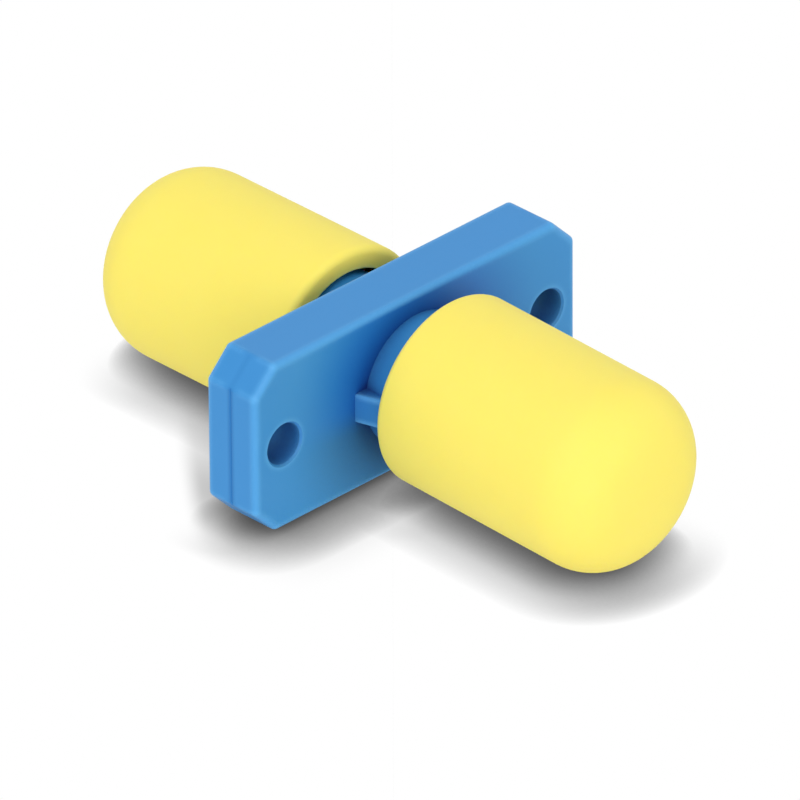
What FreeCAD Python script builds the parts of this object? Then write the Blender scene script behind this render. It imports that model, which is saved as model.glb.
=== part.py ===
import FreeCAD, Part
import math
import os
from FreeCAD import Vector

# Flanged adapter that joins two round bayonet fibre connectors end to end.
# X runs along the flange, Y is the optical axis with the front port at -Y, and Z is up.
# The origin is on the axis, in the weld plane where the two ferrules meet.
# All sizes are in millimetres.

# Flange, welded up from two equal halves
screw_spacing = 18.0
screw_edge = 2.0
screw_hole_diameter = 2.2
screw_hole_bevel = 0.1
flange_height = 9.26
flange_thickness = 3.36
flange_chamfer = 1.4
flange_corner_round = 0.32
flange_edge_round = 0.32
seam_bevel = 0.06

# Split sleeve that lines up the two ferrules
ferrule_diameter = 2.5
sleeve_wall = 0.35
sleeve_length = 11.4
sleeve_slit = 0.45
sleeve_bevel = 0.06

# Holder tube that keeps the sleeve in each half
sleeve_side_clearance = 0.06
sleeve_end_clearance = 0.1
holder_wall = 0.55
lip_thickness = 0.6
lip_clearance = 0.2
lip_lead_in = 0.25
holder_bevel = 0.15

# Barrel that takes the connector, with its two bayonet lugs and its keyway
plug_room = 0.74
barrel_wall = 0.57
barrel_length = 9.6
barrel_bevel = 0.25
barrel_lead_in = 0.15
lug_diameter = 1.4
lug_height = 0.48
lug_setback = 3.4
keyway_width = 1.65
keyway_depth = 3.9
rib_width = 1.6
rib_height = 0.7
rib_length = 2.33
rib_round = 0.12

# Soft dust caps, both alike and pushed on to different depths
cap_clearance = 0.1
cap_wall = 0.89
cap_spare_depth = 3.35
cap_end_wall = 1.0
cap_crown_radius = 14.0
cap_shoulder_round = 3.09
cap_inner_bevel = 1.5
cap_rim_bevel = 0.16
front_cap_gap = 2.06
rear_cap_gap = 1.38

# Sizes that follow from the ones above
half_thickness = flange_thickness / 2
flange_length = screw_spacing + 2 * screw_edge
ferrule_r = ferrule_diameter / 2
sleeve_r = ferrule_r + sleeve_wall
cavity_r = sleeve_r + sleeve_side_clearance
cavity_end = sleeve_length / 2 + sleeve_end_clearance
lip_r = ferrule_r + lip_clearance
holder_r = cavity_r + holder_wall
holder_end = cavity_end + lip_thickness
bore_r = holder_r + plug_room
barrel_r = bore_r + barrel_wall
barrel_end = half_thickness + barrel_length
cap_bore_r = barrel_r + lug_height + cap_clearance
cap_depth = barrel_length + cap_spare_depth

origin = Vector(0, 0, 0)
along_x = Vector(1, 0, 0)
along_y = Vector(0, 1, 0)
up = Vector(0, 0, 1)
edge_tolerance = 0.001
samples_per_edge = 5


def edges_along(shape, axis):
    """Straight edges of a shape that run along one axis."""
    lines = [edge for edge in shape.Edges if isinstance(edge.Curve, Part.Line)]
    return [edge for edge in lines if edge.Curve.Direction.cross(axis).Length < edge_tolerance]


def edges_at(shape, axis, level):
    """Edges of a shape that lie flat at one level along an axis."""
    found = []
    for edge in [edge for edge in shape.Edges if not edge.Degenerated]:
        heights = [point.dot(axis) for point in edge.discretize(samples_per_edge)]
        if max(abs(height - level) for height in heights) < edge_tolerance:
            found.append(edge)
    return found


def turned(radius, angle):
    """Step of one radius, at an angle from the optical axis."""
    return Vector(radius * math.sin(angle), radius * math.cos(angle), 0)


def revolved(points):
    """Solid turned about the optical axis from (radius, distance along the axis) points."""
    corners = [Vector(radius, distance, 0) for radius, distance in points]
    outline = Part.makePolygon(corners + corners[:1])
    return Part.Face(outline).revolve(origin, along_y, 360)


def upright_prism(points, height):
    """Prism over (x, y) points, as far above the middle plane as below it."""
    corners = [Vector(x, y, -height / 2) for x, y in points]
    outline = Part.makePolygon(corners + corners[:1])
    return Part.Face(outline).extrude(up * height)


def seam_bevels():
    """Cutters for the bevel that shows the weld on both ends of the flange."""
    end = flange_length / 2
    bevel = upright_prism([(end - seam_bevel, 0), (end, 0), (end, seam_bevel)], flange_height)
    return [bevel, bevel.mirror(origin, along_x)]


def half_flange():
    """Half of the flange with its cut corners, soft edges, bevelled seam ends and two bevelled screw holes."""
    corner = Vector(-flange_length / 2, 0, -flange_height / 2)
    plate = Part.makeBox(flange_length, half_thickness, flange_height, corner)
    plate = plate.makeChamfer(flange_chamfer, edges_along(plate, along_y))
    plate = plate.makeFillet(flange_corner_round, edges_along(plate, along_y))
    plate = plate.makeFillet(flange_edge_round, edges_at(plate, along_y, half_thickness))
    plate = plate.cut(seam_bevels())
    for side in (-1, 1):
        centre = Vector(side * screw_spacing / 2, 0, 0)
        plate = plate.cut(Part.makeCylinder(screw_hole_diameter / 2, half_thickness, centre, along_y))
    face_edges = edges_at(plate, along_y, half_thickness)
    hole_rims = [edge for edge in face_edges if isinstance(edge.Curve, Part.Circle) and edge.Closed]
    return plate.makeChamfer(screw_hole_bevel, hole_rims)


def socket_core():
    """Barrel and sleeve holder, joined by the floor of the socket, as one turned form."""
    barrel = [
        (cavity_r, 0),
        (barrel_r, 0),
        (barrel_r, barrel_end - barrel_bevel),
        (barrel_r - barrel_bevel, barrel_end),
        (bore_r + barrel_lead_in, barrel_end),
        (bore_r, barrel_end - barrel_lead_in),
        (bore_r, half_thickness),
    ]
    holder = [
        (holder_r, half_thickness),
        (holder_r, holder_end - holder_bevel),
        (holder_r - holder_bevel, holder_end),
        (lip_r + lip_lead_in, holder_end),
        (lip_r, holder_end - lip_lead_in),
        (lip_r, cavity_end),
        (cavity_r, cavity_end),
    ]
    return revolved(barrel + holder)


def bayonet_lug():
    """Round lug that the connector's bayonet ring turns behind, its top turned with the barrel."""
    base = Vector(barrel_r - barrel_wall / 2, barrel_end - lug_setback, 0)
    post = Part.makeCylinder(lug_diameter / 2, barrel_wall + lug_height, base, along_x)
    envelope = Part.makeCylinder(barrel_r + lug_height, barrel_end, origin, along_y)
    return post.common(envelope)


def root_rib():
    """Rib in line with the lug that tapers from the flange down to the barrel and runs out in its wall."""
    sunk = barrel_wall / 2
    inner = barrel_r - sunk
    outer = barrel_r + rib_height
    tip = half_thickness + rib_length * (1 + sunk / rib_height)
    rib = upright_prism([(inner, 0), (outer, 0), (outer, half_thickness), (inner, tip)], rib_width)
    slope = Vector(inner - outer, tip - half_thickness, 0).normalize()
    return rib.makeFillet(rib_round, edges_along(rib, slope))


def keyway():
    """Cutter for the slot in the top of the barrel that takes the connector's key."""
    floor = (holder_r + bore_r) / 2
    corner = Vector(-keyway_width / 2, barrel_end - keyway_depth, floor)
    return Part.makeBox(keyway_width, keyway_depth, barrel_r, corner)


def half_body():
    """One moulded half, with its port towards +Y."""
    cavity = Part.makeCylinder(cavity_r, half_thickness, origin, along_y)
    body = half_flange().cut(cavity).fuse(socket_core())
    for feature in (bayonet_lug(), root_rib()):
        body = body.fuse([feature, feature.mirror(origin, along_x)])
    return body.cut(keyway()).removeSplitter()


def split_sleeve():
    """Ceramic tube with one slit along its top, which springs shut on the ferrules."""
    half_length = sleeve_length / 2
    tube = revolved([
        (ferrule_r, -half_length + sleeve_bevel),
        (ferrule_r + sleeve_bevel, -half_length),
        (sleeve_r - sleeve_bevel, -half_length),
        (sleeve_r, -half_length + sleeve_bevel),
        (sleeve_r, half_length - sleeve_bevel),
        (sleeve_r - sleeve_bevel, half_length),
        (ferrule_r + sleeve_bevel, half_length),
        (ferrule_r, half_length - sleeve_bevel),
    ])
    slit = Part.makeBox(sleeve_slit, sleeve_length, sleeve_r, Vector(-sleeve_slit / 2, -half_length, 0))
    return tube.cut(slit)


def crowned_bullet(radius, length):
    """Outside of a cap as a solid, with a straight flank, a rounded shoulder and a crowned end."""
    crown_centre = length - cap_crown_radius
    shoulder_r = radius - cap_shoulder_round
    shoulder_y = crown_centre + ((cap_crown_radius - cap_shoulder_round) ** 2 - shoulder_r ** 2) ** 0.5
    lean = math.atan2(shoulder_r, shoulder_y - crown_centre)

    def on_shoulder(angle):
        return Vector(shoulder_r, shoulder_y, 0) + turned(cap_shoulder_round, angle)

    def on_crown(angle):
        return Vector(0, crown_centre, 0) + turned(cap_crown_radius, angle)

    foot = Vector(radius, 0, 0)
    tip = on_crown(0)
    flank = Part.LineSegment(foot, on_shoulder(math.pi / 2))
    shoulder = Part.Arc(on_shoulder(math.pi / 2), on_shoulder((math.pi / 2 + lean) / 2), on_shoulder(lean))
    crown = Part.Arc(on_shoulder(lean), on_crown(lean / 2), tip)
    lines = [flank, shoulder, crown, Part.LineSegment(tip, origin), Part.LineSegment(origin, foot)]
    outline = Part.Wire([line.toShape() for line in lines])
    return Part.Face(outline).revolve(origin, along_y, 360)


def dust_cap(gap):
    """Dust cap over the rear port, its rim standing a gap away from the flange."""
    outside = crowned_bullet(cap_bore_r + cap_wall, cap_depth + cap_end_wall)
    inside = Part.makeCylinder(cap_bore_r, cap_depth, origin, along_y)
    inside = inside.makeChamfer(cap_inner_bevel, edges_at(inside, along_y, cap_depth))
    cap = outside.cut(inside)
    cap = cap.makeChamfer(cap_rim_bevel, edges_at(cap, along_y, 0))
    cap.translate(along_y * (half_thickness + gap))
    return cap


def facing_front(shape):
    """The same piece turned half round, so that it serves the front port."""
    return shape.rotated(origin, up, 180)


pieces = {
    "front_body": facing_front(half_body()),
    "rear_body": half_body(),
    "split_sleeve": split_sleeve(),
    "front_cap": facing_front(dust_cap(front_cap_gap)),
    "rear_cap": dust_cap(rear_cap_gap),
}

os.makedirs("parts", exist_ok=True)
for name, shape in pieces.items():
    shape.exportStep(os.path.join("parts", name + ".step"))
    print(name, shape.ShapeType, len(shape.Solids), shape.isValid(), round(shape.Volume, 3))
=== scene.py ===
import bmesh
import bpy
import math
from mathutils import Matrix, Vector


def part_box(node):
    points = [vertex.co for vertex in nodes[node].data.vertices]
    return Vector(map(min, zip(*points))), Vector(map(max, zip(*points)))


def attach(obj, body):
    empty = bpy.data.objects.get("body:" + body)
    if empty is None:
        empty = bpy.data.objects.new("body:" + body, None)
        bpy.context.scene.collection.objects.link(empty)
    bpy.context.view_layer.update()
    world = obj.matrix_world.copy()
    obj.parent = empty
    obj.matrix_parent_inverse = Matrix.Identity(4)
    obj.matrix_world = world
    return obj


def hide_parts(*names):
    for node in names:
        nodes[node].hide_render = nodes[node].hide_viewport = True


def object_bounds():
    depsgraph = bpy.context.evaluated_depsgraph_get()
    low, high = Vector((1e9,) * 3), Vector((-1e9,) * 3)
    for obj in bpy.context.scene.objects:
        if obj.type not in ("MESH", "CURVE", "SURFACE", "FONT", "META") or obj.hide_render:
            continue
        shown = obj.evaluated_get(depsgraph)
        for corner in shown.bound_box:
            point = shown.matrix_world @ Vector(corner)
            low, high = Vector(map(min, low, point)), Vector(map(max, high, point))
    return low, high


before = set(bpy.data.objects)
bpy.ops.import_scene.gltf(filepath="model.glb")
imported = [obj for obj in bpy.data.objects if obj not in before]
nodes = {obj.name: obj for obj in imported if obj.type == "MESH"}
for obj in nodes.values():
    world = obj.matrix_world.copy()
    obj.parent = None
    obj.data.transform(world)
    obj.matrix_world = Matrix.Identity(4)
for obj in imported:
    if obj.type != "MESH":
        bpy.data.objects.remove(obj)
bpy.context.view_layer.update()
mm = 0.001  # the frame is in metres
print("frame loaded:", sorted(nodes))


# Node helpers

def newNode(tree, kind, **settings):
    # a setting is the name of an input or of a property of the node
    node = tree.nodes.new(kind)
    for name, value in settings.items():
        if name in node.inputs:
            node.inputs[name].default_value = value
        else:
            setattr(node, name, value)
    return node


def feed(tree, socket, value):
    # links a socket to another one, or sets it to a plain value
    if isinstance(value, bpy.types.NodeSocket):
        tree.links.new(value, socket)
    else:
        socket.default_value = value


def calc(tree, operation, *values, clamp=False):
    node = newNode(tree, "ShaderNodeMath", operation=operation, use_clamp=clamp)
    for socket, value in zip(node.inputs, values):
        feed(tree, socket, value)
    return node.outputs[0]


def ramp(tree, value, start, stop, low=0.0, high=1.0, curve="LINEAR"):
    # low where the value is at start, and high where it is at stop
    node = newNode(tree, "ShaderNodeMapRange", interpolation_type=curve)
    ends = {"Value": value, "From Min": start, "From Max": stop, "To Min": low, "To Max": high}
    for name, end in ends.items():
        feed(tree, node.inputs[name], end)
    return node.outputs["Result"]


def blend(tree, share, first, second):
    node = newNode(tree, "ShaderNodeMix", data_type="RGBA")
    for name, value in (("Factor", share), ("A", first), ("B", second)):
        feed(tree, node.inputs[name], value)
    return node.outputs["Result"]


def blendShaders(tree, share, first, second):
    node = newNode(tree, "ShaderNodeMixShader")
    for socket, value in zip(node.inputs, (share, first, second)):
        feed(tree, socket, value)
    return node.outputs[0]


def splitAxes(tree, vector):
    node = newNode(tree, "ShaderNodeSeparateXYZ")
    feed(tree, node.inputs[0], vector)
    return node.outputs


def newGroup(name, inputs, outputs):
    tree = bpy.data.node_groups.new(name, "ShaderNodeTree")
    kinds = {"Color": "NodeSocketColor", "Float": "NodeSocketFloat"}
    for label, kind in inputs:
        tree.interface.new_socket(name=label, in_out="INPUT", socket_type=kinds[kind])
    for label, kind in outputs:
        tree.interface.new_socket(name=label, in_out="OUTPUT", socket_type=kinds[kind])
    return tree, tree.nodes.new("NodeGroupInput").outputs, tree.nodes.new("NodeGroupOutput").inputs


def newMaterial(name):
    material = bpy.data.materials.new(name)
    material.use_nodes = True
    tree = material.node_tree
    return material, tree, tree.nodes["Principled BSDF"]


# Shared effects: a moulded skin, and painted highlight and shade

skinNoise = {
    "Cloud": {"Detail": 3.0, "Roughness": 0.55},
    "Grain": {"Detail": 2.0, "Roughness": 0.6},
}


def makeMouldedSkin():
    # cloudy colour, uneven gloss and fine grain, as on anything that came out of a mould
    tree, given, result = newGroup(
        "mouldedSkin",
        [("Colour", "Color"), ("Cloud Colour", "Color"), ("Cloud Size", "Float"), ("Cloud Amount", "Float"),
         ("Grain Size", "Float"), ("Roughness", "Float"), ("Roughness Swing", "Float")],
        [("Colour", "Color"), ("Roughness", "Float"), ("Height", "Float")])
    place = newNode(tree, "ShaderNodeTexCoord").outputs["Object"]
    noise = {}
    for name, settings in skinNoise.items():
        texture = newNode(tree, "ShaderNodeTexNoise", **settings)
        feed(tree, texture.inputs["Vector"], place)
        feed(tree, texture.inputs["Scale"], calc(tree, "DIVIDE", 1.0, given[name + " Size"]))
        noise[name] = texture.outputs["Fac"]
    cloudy = calc(tree, "MULTIPLY", noise["Cloud"], given["Cloud Amount"])
    gloss = calc(tree, "SUBTRACT", calc(tree, "ADD", noise["Cloud"], noise["Grain"]), 1.0)
    feed(tree, result["Colour"], blend(tree, cloudy, given["Colour"], given["Cloud Colour"]))
    swing, roughness = given["Roughness Swing"], given["Roughness"]
    feed(tree, result["Roughness"], calc(tree, "MULTIPLY_ADD", gloss, swing, roughness))
    feed(tree, result["Height"], noise["Grain"])
    return tree


# Edge paints a highlight on free edges, Shade and Recess paint shade
nearMasks = {  # each looks for walls inside or outside the piece, and a large rise keeps it for deep places
    "Edge": {"inside": True, "rise": 1.0, "samples": 6},
    "Shade": {"inside": False, "rise": 1.0, "samples": 6},
    "Recess": {"inside": False, "rise": 3.0, "samples": 6},
}


def makePaintedLightAndShade():
    # painted light: free edges are painted paler as a highlight, walls near others deeper and recesses dark
    # as painted shade
    inputs = [("Colour", "Color")]
    for mask in nearMasks:
        inputs += [(mask + " Colour", "Color"), (mask + " Reach", "Float"), (mask + " Amount", "Float")]
    tree, given, result = newGroup("paintedLightAndShade", inputs, [("Colour", "Color"), ("Recess", "Float")])
    colour = given["Colour"]
    shares = {}
    for mask, search in nearMasks.items():
        around = newNode(tree, "ShaderNodeAmbientOcclusion", only_local=True,
                         inside=search["inside"], samples=search["samples"])
        feed(tree, around.inputs["Distance"], given[mask + " Reach"])
        hidden = calc(tree, "SUBTRACT", 1.0, around.outputs["AO"], clamp=True)
        deep = calc(tree, "POWER", hidden, search["rise"])
        shares[mask] = calc(tree, "MULTIPLY", deep, given[mask + " Amount"], clamp=True)
        colour = blend(tree, shares[mask], colour, given[mask + " Colour"])
    feed(tree, result["Colour"], colour)
    feed(tree, result["Recess"], shares["Recess"])
    return tree


mouldedSkin = makeMouldedSkin()
paintedLightAndShade = makePaintedLightAndShade()
print("shared effects ready")


def dressSurface(tree, shader, look):
    # places both shared effects in a material and joins them to its shader
    skin = newNode(tree, "ShaderNodeGroup", node_tree=mouldedSkin)
    shade = newNode(tree, "ShaderNodeGroup", node_tree=paintedLightAndShade)
    for group in (skin, shade):
        for socket in group.inputs:
            if socket.name in look:
                socket.default_value = look[socket.name]
    feed(tree, shade.inputs["Colour"], skin.outputs["Colour"])
    bump = newNode(tree, "ShaderNodeBump", Strength=look["Grain Strength"], Distance=look["Grain Depth"])
    feed(tree, bump.inputs["Height"], skin.outputs["Height"])
    recess, roughness = shade.outputs["Recess"], skin.outputs["Roughness"]
    dull = calc(tree, "MULTIPLY_ADD", recess, look["Recess Dull"], roughness, clamp=True)
    feed(tree, shader.inputs["Base Color"], shade.outputs["Colour"])
    feed(tree, shader.inputs["Roughness"], dull)
    feed(tree, shader.inputs["Normal"], bump.outputs["Normal"])
    shader.inputs["Specular IOR Level"].default_value = look["Shine"]
    return shade


# Blue moulded plastic of the two halves

bluePlasticLook = {
    "Colour": (0.032, 0.252, 0.605, 1), "Cloud Colour": (0.044, 0.272, 0.635, 1),
    "Cloud Size": 2.5 * mm, "Cloud Amount": 0.8,
    "Grain Size": 0.09 * mm, "Grain Depth": 0.004 * mm, "Grain Strength": 0.5,
    "Roughness": 0.42, "Roughness Swing": 0.12, "Shine": 0.32,
    # Edge is a painted highlight on free edges; Shade and Recess are painted shade beside the barrel and in
    # hollows
    "Edge Colour": (0.165, 0.545, 0.960, 1), "Edge Reach": 0.38 * mm, "Edge Amount": 2.4,
    "Shade Colour": (0.007, 0.125, 0.500, 1), "Shade Reach": 5.5 * mm, "Shade Amount": 3.2,
    "Low Shade Colour": (0.021, 0.110, 0.235, 1), "Shade Low": -1.7 * mm, "Shade High": 0.3 * mm,
    "Recess Colour": (0.001, 0.012, 0.145, 1), "Recess Reach": 2.4 * mm, "Recess Amount": 3.6,
    "Recess Dull": 0.55,
    "Weld Colour": (0.012, 0.178, 0.490, 1), "Weld Line": 0.31 * mm, "Weld Fade": 4.0,
    "Weld Band": 0.3 * mm, "Weld Band End": 0.6 * mm,
    "Hole Place": 9.0 * mm, "Hole Rim": 1.5 * mm, "Hole Rim End": 1.95 * mm, "Hole Edge": 0.35,
}


def drawWeld(tree, plastic, fromWeld, facing, alongAxis):
    # the weld is a soft dark line on the flange's ends, and a faint one on its cut corners
    look = bluePlasticLook
    nearWeld = ramp(tree, fromWeld, look["Weld Line"], 0.0, curve="SMOOTHSTEP")
    endFace = calc(tree, "POWER", facing["X"], look["Weld Fade"])
    turned = calc(tree, "MAXIMUM", endFace, alongAxis)  # the weld's bevel counts with the ends
    return blend(tree, calc(tree, "MULTIPLY", nearWeld, turned), plastic, look["Weld Colour"])


def paintedEdgeHighlight(tree, fromWeld, place):
    # the painted edge highlight stops short of the weld, which is no free edge, and is faint round the
    # screw holes
    look = bluePlasticLook
    offWeld = ramp(tree, fromWeld, look["Weld Band"], look["Weld Band End"], high=look["Edge Amount"])
    holeSpot = newNode(tree, "ShaderNodeCombineXYZ")  # the place as seen from the middle of the nearer hole
    across = calc(tree, "SUBTRACT", calc(tree, "ABSOLUTE", place["X"]), look["Hole Place"])
    feed(tree, holeSpot.inputs["X"], across)
    feed(tree, holeSpot.inputs["Z"], place["Z"])
    fromHole = newNode(tree, "ShaderNodeVectorMath", operation="LENGTH")
    feed(tree, fromHole.inputs[0], holeSpot.outputs[0])
    rim, rimEnd = look["Hole Rim"], look["Hole Rim End"]
    offHole = ramp(tree, fromHole.outputs["Value"], rim, rimEnd, low=look["Hole Edge"])
    return calc(tree, "MULTIPLY", offWeld, offHole)


def barrelShade(tree, place):
    # painted shade beside the barrel, deep blue on the flange's upper half and dull blue on its lower half
    look = bluePlasticLook
    height = ramp(tree, place["Z"], look["Shade Low"], look["Shade High"], curve="SMOOTHSTEP")
    return blend(tree, height, look["Low Shade Colour"], look["Shade Colour"])


def makeBluePlastic():
    look = bluePlasticLook
    material, tree, shader = newMaterial("bluePlastic")
    shade = dressSurface(tree, shader, look)
    spot = newNode(tree, "ShaderNodeTexCoord").outputs
    place = splitAxes(tree, spot["Object"])
    facing = splitAxes(tree, spot["Normal"])
    fromWeld = calc(tree, "ABSOLUTE", place["Y"])
    alongAxis = calc(tree, "ABSOLUTE", facing["Y"])  # 1 on faces that look along the optical axis
    welded = drawWeld(tree, shade.outputs["Colour"], fromWeld, facing, alongAxis)
    feed(tree, shader.inputs["Base Color"], welded)
    feed(tree, shade.inputs["Edge Amount"], paintedEdgeHighlight(tree, fromWeld, place))
    # the painted shade beside the barrel falls on faces that look along the axis
    feed(tree, shade.inputs["Shade Amount"], calc(tree, "MULTIPLY", alongAxis, look["Shade Amount"]))
    feed(tree, shade.inputs["Shade Colour"], barrelShade(tree, place))
    return material


# Soft yellow vinyl of the dust caps

yellowVinylLook = {
    "Colour": (0.990, 0.800, 0.135, 1), "Cloud Colour": (1.000, 0.830, 0.160, 1),
    "Cloud Size": 3.5 * mm, "Cloud Amount": 0.8,
    "Grain Size": 0.12 * mm, "Grain Depth": 0.003 * mm, "Grain Strength": 0.4,
    "Roughness": 0.58, "Roughness Swing": 0.10, "Shine": 0.3,
    # a painted highlight on free edges, and an olive painted shade on the rim and inside the cap
    "Edge Colour": (1.0, 0.93, 0.40, 1), "Edge Reach": 0.25 * mm, "Edge Amount": 0.8,
    "Recess Colour": (0.60, 0.45, 0.03, 1), "Recess Reach": 5.0 * mm, "Recess Amount": 1.2,
    "Recess Dull": 0.3,
    "Scatter": 0.4, "Scatter Radius": (1.0, 0.8, 0.25), "Scatter Depth": 0.5 * mm,
}


def makeYellowVinyl():
    look = yellowVinylLook
    material, tree, shader = newMaterial("yellowVinyl")
    dressSurface(tree, shader, look)
    shader.inputs["Subsurface Weight"].default_value = look["Scatter"]
    shader.inputs["Subsurface Radius"].default_value = look["Scatter Radius"]
    shader.inputs["Subsurface Scale"].default_value = look["Scatter Depth"]
    return material


# Ground white ceramic of the split sleeve

whiteCeramicLook = {
    "Colour": (0.80, 0.78, 0.73, 1), "Cloud Colour": (0.84, 0.83, 0.79, 1),
    "Cloud Size": 1.5 * mm, "Cloud Amount": 0.9,
    "Grain Size": 0.05 * mm, "Grain Depth": 0.001 * mm, "Grain Strength": 0.2,
    "Roughness": 0.16, "Roughness Swing": 0.06, "Shine": 0.5, "Refraction": 2.1,
    # a painted highlight on free edges, and painted shade in the bore
    "Edge Colour": (0.90, 0.89, 0.86, 1), "Edge Reach": 0.08 * mm, "Edge Amount": 0.6,
    "Recess Colour": (0.55, 0.53, 0.48, 1), "Recess Reach": 1.5 * mm, "Recess Amount": 0.5,
    "Recess Dull": 0.2,
}


def makeWhiteCeramic():
    material, tree, shader = newMaterial("whiteCeramic")
    dressSurface(tree, shader, whiteCeramicLook)
    shader.inputs["IOR"].default_value = whiteCeramicLook["Refraction"]
    return material


def paintNode(name, material):
    slots = nodes[name].data.materials
    slots.clear()
    slots.append(material)


bluePlastic = makeBluePlastic()
yellowVinyl = makeYellowVinyl()
whiteCeramic = makeWhiteCeramic()
for half in ("front_body", "rear_body"):
    paintNode(half, bluePlastic)
paintNode("split_sleeve", whiteCeramic)
print("materials ready")


# Dust caps, as soft turned shells with a rounded rim

capShape = {
    "wall": 0.89 * mm, "endWall": 1.0 * mm, "innerBevel": 1.5 * mm,
    "shoulderRound": 3.09 * mm, "crownRadius": 14.0 * mm,
    "lipWall": 1.11 * mm, "lipDepth": 2.0 * mm, "lipRamp": 0.6 * mm,
    "rimOuterRound": 0.40 * mm, "rimInnerRound": 0.06 * mm,
    "turns": 128, "flankRows": 12, "shoulderRows": 16, "crownRows": 8, "rimOuterRows": 8, "rimInnerRows": 4,
}
capSeat = {  # how the loose caps sit on their barrels
    "front_cap": {"droop": math.radians(2.05), "lift": 0.05 * mm},
    "rear_cap": {"droop": 0.0, "lift": 0.0},
}


def arcPoints(centre, radius, start, stop, rows):
    # (radius, distance) points on an arc whose angle is measured from the axis
    angles = [start + (stop - start) * row / rows for row in range(rows + 1)]
    return [(centre[0] + radius * math.sin(a), centre[1] + radius * math.cos(a)) for a in angles]


def linePoints(start, stop, rows):
    # the points between two ends, without the ends
    steps = [(stop[0] - start[0]) / rows, (stop[1] - start[1]) / rows]
    return [(start[0] + steps[0] * row, start[1] + steps[1] * row) for row in range(1, rows)]


def capProfile(radius, length):
    # from the inner pole, along the bore and its lip to the rim, and over the outside to the outer pole
    shape = capShape
    bore = radius - shape["wall"]
    lip = radius - shape["lipWall"]
    depth = length - shape["endWall"]
    inRound, outRound = shape["rimInnerRound"], shape["rimOuterRound"]
    shoulder, crownRadius = shape["shoulderRound"], shape["crownRadius"]
    crownCentre = length - crownRadius
    shoulderR = radius - shoulder
    shoulderY = crownCentre + math.sqrt((crownRadius - shoulder) ** 2 - shoulderR ** 2)
    lean = math.atan2(shoulderR, shoulderY - crownCentre)
    quarter = math.pi / 2
    inner = [(0, depth), (bore - shape["innerBevel"], depth), (bore, depth - shape["innerBevel"])]
    lipRun = [(bore, shape["lipDepth"] + shape["lipRamp"]), (lip, shape["lipDepth"])]
    rimIn = arcPoints((lip + inRound, inRound), inRound, -quarter, -math.pi, shape["rimInnerRows"])
    rimOut = arcPoints((radius - outRound, outRound), outRound, math.pi, quarter, shape["rimOuterRows"])
    over = arcPoints((shoulderR, shoulderY), shoulder, quarter, lean, shape["shoulderRows"])
    crown = arcPoints((0, crownCentre), crownRadius, lean, 0, shape["crownRows"])
    boreRun = linePoints(inner[-1], lipRun[0], shape["flankRows"])
    flank = linePoints(rimOut[-1], over[0], shape["flankRows"])
    return inner + boreRun + lipRun + rimIn + rimOut + flank + over + crown[1:-1] + [(0, length)]


def latheMesh(name, profile, turns):
    # turns a profile about the optical axis, with one point where it meets the axis
    mesh = bpy.data.meshes.new(name)
    bm = bmesh.new()
    steps = [2 * math.pi * turn / turns for turn in range(turns)]
    rings = []
    for radius, distance in profile:
        if radius == 0:
            rings.append([bm.verts.new((0, distance, 0))])
        else:
            circle = [(radius * math.sin(a), distance, radius * math.cos(a)) for a in steps]
            rings.append([bm.verts.new(point) for point in circle])
    for low, high in zip(rings, rings[1:]):
        for turn in range(turns):
            after = (turn + 1) % turns
            places = ((low, turn), (low, after), (high, after), (high, turn))
            corners = [ring[step % len(ring)] for ring, step in places]
            bm.faces.new(list(dict.fromkeys(corners)))  # a pole's point comes twice and counts once
    bmesh.ops.recalc_face_normals(bm, faces=bm.faces)
    for face in bm.faces:
        face.smooth = True
    bm.to_mesh(mesh)
    bm.free()
    return mesh


def makeCap(node, body, facing):
    low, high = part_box(node)
    length = high.y - low.y
    mesh = latheMesh(node + "_skin", capProfile(high.z, length), capShape["turns"])
    rim = high.y if facing < 0 else low.y
    seat = capSeat[node]
    middle = Matrix.Translation((0, length / 2, 0))
    droop = middle @ Matrix.Rotation(-seat["droop"], 4, "X") @ middle.inverted()
    turn = Matrix.Rotation(math.pi, 4, "Z") if facing < 0 else Matrix.Identity(4)
    mesh.transform(Matrix.Translation((0, rim, seat["lift"])) @ turn @ droop)
    cap = bpy.data.objects.new(node + "_skin", mesh)
    bpy.context.scene.collection.objects.link(cap)
    mesh.materials.append(yellowVinyl)
    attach(cap, body)
    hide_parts(node)


makeCap("front_cap", "front_dust_cap", -1)
makeCap("rear_cap", "rear_dust_cap", 1)
print("caps made")


# Floor, light and camera

studio = {
    "floorSize": 4.0, "floorColour": (0.97, 0.97, 0.97, 1), "floorRoughness": 0.9, "floorGlow": 0.7,
    "ambient": 0.84,
    "shadowSamples": 16,
    "shadows": {  # the floor looks for the object along each lean
        "away": {"lean": (0.48, 0.87, 0.06), "reach": 3.2 * mm, "depth": 1.47},
        "near": {"lean": (-0.51, -0.78, 0.36), "reach": 1.9 * mm, "depth": 2.55},
    },
    "flangeShade": 0.62,
    "flangeShadeEdges": {  # each edge rises along a direction on the floor, from none to full
        "front": {"along": (0, 1, 0), "none": -7.07 * mm, "full": 2.23 * mm},
        "back": {"along": (0, 1, 0), "none": 12.5 * mm, "full": 0.0},
        "end": {"along": (1, 0, 0), "none": -13.24 * mm, "full": -7.83 * mm},
        "left": {"along": (1, -0.851, 0), "none": -13.91 * mm, "full": -12.36 * mm},
        "right": {"along": (1, -0.851, 0), "none": 12.60 * mm, "full": 9.10 * mm},
    },
    "lamps": {
        "key": {"direction": (-0.65, -0.30, 0.70), "distance": 0.8, "size": 0.5, "level": 0.19},
        "lowFill": {"direction": (-0.50, -0.85, 0.16), "distance": 0.8, "size": 0.7, "level": 0.23},
    },
}


def seenRays(tree):
    # 1 where the eye sees a surface, straight, in a reflection or through something clear
    rays = newNode(tree, "ShaderNodeLightPath").outputs
    direct = calc(tree, "MAXIMUM", rays["Is Camera Ray"], rays["Is Glossy Ray"])
    return calc(tree, "MAXIMUM", direct, rays["Is Transmission Ray"])


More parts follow.
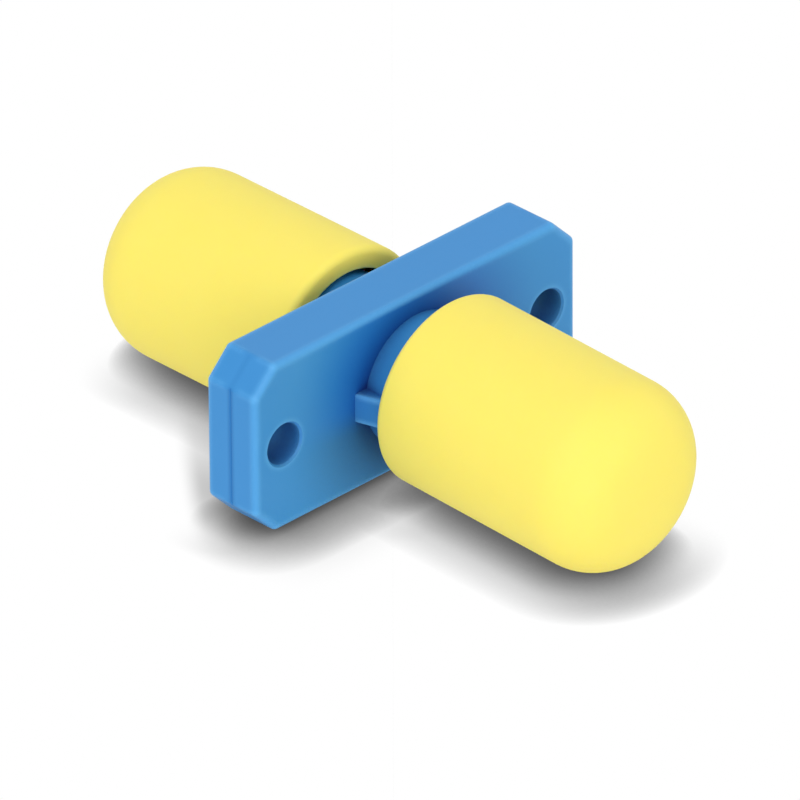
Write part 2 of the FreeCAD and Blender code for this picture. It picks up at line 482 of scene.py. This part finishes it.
def openFloor(tree):
    # 1 on open floor, and less the more of the object is near
    clear = []
    for shadow in studio["shadows"].values():
        lean = newNode(tree, "ShaderNodeCombineXYZ")
        for socket, value in zip(lean.inputs, Vector(shadow["lean"]).normalized()):
            socket.default_value = value
        around = newNode(tree, "ShaderNodeAmbientOcclusion", samples=studio["shadowSamples"],
                         Distance=shadow["reach"])
        feed(tree, around.inputs["Normal"], lean.outputs[0])
        clear.append(calc(tree, "POWER", around.outputs["AO"], shadow["depth"]))
    return calc(tree, "MULTIPLY", *clear)


def clearOfFlange(tree, place):
    # 1 on open floor, and less in the soft shade that the flange throws behind it
    shade = 1.0
    for edge in studio["flangeShadeEdges"].values():
        along = newNode(tree, "ShaderNodeVectorMath", operation="DOT_PRODUCT")
        feed(tree, along.inputs[0], place)
        feed(tree, along.inputs[1], edge["along"])
        rise = ramp(tree, along.outputs["Value"], edge["none"], edge["full"], curve="SMOOTHSTEP")
        shade = calc(tree, "MULTIPLY", shade, rise)
    return calc(tree, "MULTIPLY_ADD", shade, -studio["flangeShade"], 1.0)


def makeFloorMaterial():
    # a white sheet with a soft grey shadow round what stands on it, and nothing to see from below
    material, tree, shader = newMaterial("paleFloor")
    shader.inputs["Base Color"].default_value = studio["floorColour"]
    shader.inputs["Roughness"].default_value = studio["floorRoughness"]
    shader.inputs["Specular IOR Level"].default_value = 0.0
    surface = newNode(tree, "ShaderNodeNewGeometry").outputs
    clear = calc(tree, "MULTIPLY", openFloor(tree), clearOfFlange(tree, surface["Position"]))
    sheet = newNode(tree, "ShaderNodeEmission")
    feed(tree, sheet.inputs["Strength"], clear)
    seen = seenRays(tree)
    lit = blendShaders(tree, seen, shader.outputs[0], sheet.outputs[0])
    unseen = calc(tree, "SUBTRACT", 1.0, seen)
    glow = calc(tree, "MULTIPLY", unseen, studio["floorGlow"])  # some light comes up through the sheet
    through = calc(tree, "MAXIMUM", glow, surface["Backfacing"])
    nothing = newNode(tree, "ShaderNodeBsdfTransparent").outputs[0]
    feed(tree, tree.nodes["Material Output"].inputs["Surface"], blendShaders(tree, through, lit, nothing))
    return material


def makeFloor():
    mesh = bpy.data.meshes.new("floor")
    half = studio["floorSize"] / 2
    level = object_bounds()[0].z  # the lowest point of the dressed part
    corners = [(-half, -half, level), (half, -half, level), (half, half, level), (-half, half, level)]
    mesh.from_pydata(corners, [], [(0, 1, 2, 3)])
    mesh.materials.append(makeFloorMaterial())
    floor = bpy.data.objects.new("floor", mesh)
    bpy.context.scene.collection.objects.link(floor)


def makeWorld():
    # white to the eye, and a little dimmer as light
    world = bpy.data.worlds.new("studioWorld")
    bpy.context.scene.world = world
    world.use_nodes = True
    tree = world.node_tree
    background = tree.nodes["Background"]
    background.inputs["Color"].default_value = (1, 1, 1, 1)
    feed(tree, background.inputs["Strength"], ramp(tree, seenRays(tree), 0.0, 1.0, low=studio["ambient"]))


def makeLamps():
    for name, lamp in studio["lamps"].items():
        light = bpy.data.lights.new(name, "AREA")
        light.shape = "DISK"
        light.size = lamp["size"]
        # level 1 lights a facing sheet to white
        light.energy = lamp["level"] * math.pi ** 2 * lamp["distance"] ** 2
        holder = bpy.data.objects.new(name, light)
        bpy.context.scene.collection.objects.link(holder)
        direction = Vector(lamp["direction"]).normalized()
        holder.location = direction * lamp["distance"]
        holder.rotation_euler = direction.to_track_quat("Z", "Y").to_euler()


cameraView = {
    "azimuth": math.radians(-44.891), "elevation": math.radians(30.415), "roll": math.radians(-0.364),
    "distance": 0.8390, "lens": 777.5, "sensor": 36.0, "right": 0.382 * mm, "down": 1.706 * mm,
}


def makeCamera():
    view = cameraView
    data = bpy.data.cameras.new("camera")
    data.lens = view["lens"]
    data.sensor_width = view["sensor"]
    camera = bpy.data.objects.new("camera", data)
    bpy.context.scene.collection.objects.link(camera)
    azimuth, elevation = view["azimuth"], view["elevation"]
    flat = math.cos(elevation)
    back = Vector((math.sin(azimuth) * flat, -math.cos(azimuth) * flat, math.sin(elevation)))
    right = Vector((math.cos(azimuth), math.sin(azimuth), 0))
    up = back.cross(right)
    turn = Matrix.Rotation(view["roll"], 3, back)
    right, up = turn @ right, turn @ up
    camera.matrix_world = Matrix((right, up, back)).transposed().to_4x4()
    camera.location = back * view["distance"] + right * view["right"] - up * view["down"]
    bpy.context.scene.camera = camera


makeFloor()
makeWorld()
makeLamps()
makeCamera()
bpy.context.scene.view_settings.view_transform = "Standard"
print("stage set")
